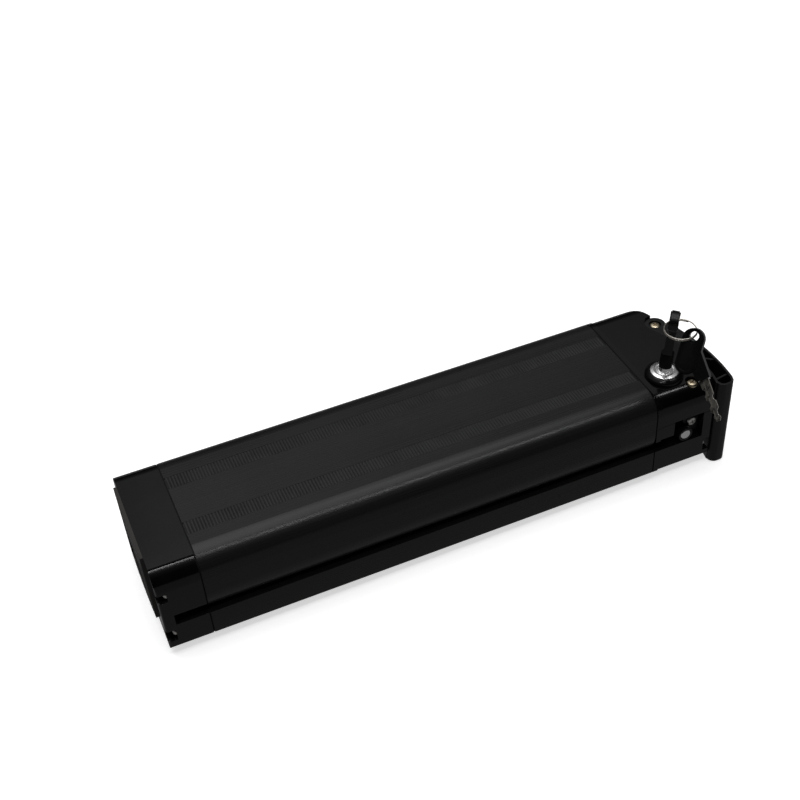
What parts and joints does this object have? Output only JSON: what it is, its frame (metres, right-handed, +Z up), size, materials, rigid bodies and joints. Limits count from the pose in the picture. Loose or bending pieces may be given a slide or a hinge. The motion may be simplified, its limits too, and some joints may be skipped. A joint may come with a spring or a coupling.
{
  "type": "slide-in e-bike battery pack",
  "caption": "Slide-in battery pack for an electric bicycle: black aluminium shell with rail slots, moulded end caps, key lock with sliding bolt, fold-out handle and a pair of keys.",
  "frame": {"origin": "middle of the width, on the resting face, at the front plane of the raised socket plate on the connector end", "axes": "+X from the connector end to the lock and handle end, +Y across the pack towards the charge socket side, +Z up"},
  "size_m": [0.4397, 0.1581, 0.1354],
  "materials": {
    "shell_metal": "satin black anodised and brushed along its length",
    "cap_plastic": "smooth black with a soft gloss",
    "socket_plastic": "matt brown-grey moulding",
    "contact_metal": "plated brass",
    "screw_steel": "bright zinc-plated steel",
    "screw_brass": "yellow zinc-plated steel",
    "seal_rubber": "soft black rubber",
    "bezel_plastic": "glossy black",
    "lock_metal": "polished nickel plate",
    "bracket_metal": "dull grey stamped steel",
    "key_plastic": "smooth black key grip",
    "key_metal": "nickel plate with fine scratches",
    "handle_plastic": "fine-textured black",
    "window_plastic": "clear indicator window",
    "button_plastic": "soft red button",
    "cell_wrap": "shrink-wrapped cells",
    "holder_plastic": "matt black spacer moulding",
    "strip_nickel": "spot-welded nickel strip",
    "board": "green circuit board",
    "board_parts": "black electronic parts",
    "cable": "silicone lead",
    "foam": "closed-cell foam"
  },
  "bodies": {
    "pack": {"shell": "shell_metal", "grip_strips": "shell_metal", "connector_cap": "cap_plastic", "socket_plate": "socket_plastic", "discharge_socket": "socket_plastic", "contact_blades": "contact_metal", "connector_screws": "screw_steel", "gaskets": "seal_rubber", "lock_cap_upper": "cap_plastic", "lock_cap_lower": "cap_plastic", "lock_cap_screws": "screw_steel", "top_screw": "screw_brass", "lock_bezel": "bezel_plastic", "lock_housing": "lock_metal", "lock_nut": "contact_metal", "bolt_guide": "bezel_plastic", "spring_seat": "cap_plastic", "bolt_spring": "screw_steel", "bolt_bracket": "bracket_metal", "bracket_screw": "screw_steel", "hinge_screws": "screw_brass", "charge_socket": "socket_plastic", "charge_pins": "contact_metal", "cover_pin": "screw_steel", "cover_ears": "cap_plastic", "status_window": "window_plastic", "cells": "cell_wrap", "cell_holder_lower": "holder_plastic", "cell_holder_upper": "holder_plastic", "nickel_strips": "strip_nickel", "protection_board": "board", "board_parts": "board_parts", "power_cables": "cable", "foam_pads": "foam"},
    "lock_rotor": {"lock_plug": "lock_metal", "lock_sleeve": "seal_rubber", "lock_cam": "lock_metal"},
    "lock_bolt": {"bolt_carriage": "bezel_plastic", "bolt_tip": "lock_metal"},
    "key": {"key_head": "key_plastic", "key_blade": "key_metal"},
    "key_ring": {"key_ring": "key_metal"},
    "spare_key": {"spare_key_head": "key_plastic", "spare_key_blade": "key_metal"},
    "handle": {"handle": "handle_plastic"},
    "charge_cover": {"charge_cover": "seal_rubber"},
    "status_button": {"status_button": "button_plastic"}
  },
  "joints": [
    {"name": "lock_turn", "type": "hinge", "parent": "pack", "child": "lock_rotor", "pos_m": [0.394, -0.0315, 0.06], "axis": [0, 0, -1], "range_deg": [0, 90]},
    {"name": "bolt_slide", "type": "slide", "parent": "pack", "child": "lock_bolt", "axis": [0, -1, 0], "range_m": [0, 0.008], "deforming": ["bolt_spring"]},
    {"name": "key_withdraw", "type": "slide", "parent": "lock_rotor", "child": "key", "axis": [0.0958, 0, 0.9954], "range_m": [0, 0.026]},
    {"name": "ring_swing", "type": "hinge", "parent": "key", "child": "key_ring", "pos_m": [0.39593, -0.03462, 0.12234], "axis": [0.7736, -0.6293, -0.0745], "range_deg": [-14, 2], "stiffness_Nm_per_rad": 0.3},
    {"name": "spare_key_swing", "type": "hinge", "parent": "key_ring", "child": "spare_key", "pos_m": [0.39864, -0.05601, 0.12234], "axis": [0.6567, 0.5011, -0.5637], "range_deg": [-24, 8], "stiffness_Nm_per_rad": 0.2},
    {"name": "handle_fold", "type": "hinge", "parent": "pack", "child": "handle", "pos_m": [0.4215, 0.0245, 0.031], "axis": [0, 0, 1], "range_deg": [0, 90]},
    {"name": "cover_open", "type": "hinge", "parent": "pack", "child": "charge_cover", "pos_m": [0.39, 0.057, 0.0549], "axis": [1, 0, 0], "range_deg": [0, 110]},
    {"name": "button_press", "type": "slide", "parent": "pack", "child": "status_button", "axis": [-1, 0, 0], "range_m": [0, 0.0008], "stiffness_N_per_m": 400}
  ],
  "couplings": [
    {"joint": "bolt_slide", "follows": "lock_turn", "m_per_rad": 0.00509}
  ]
}
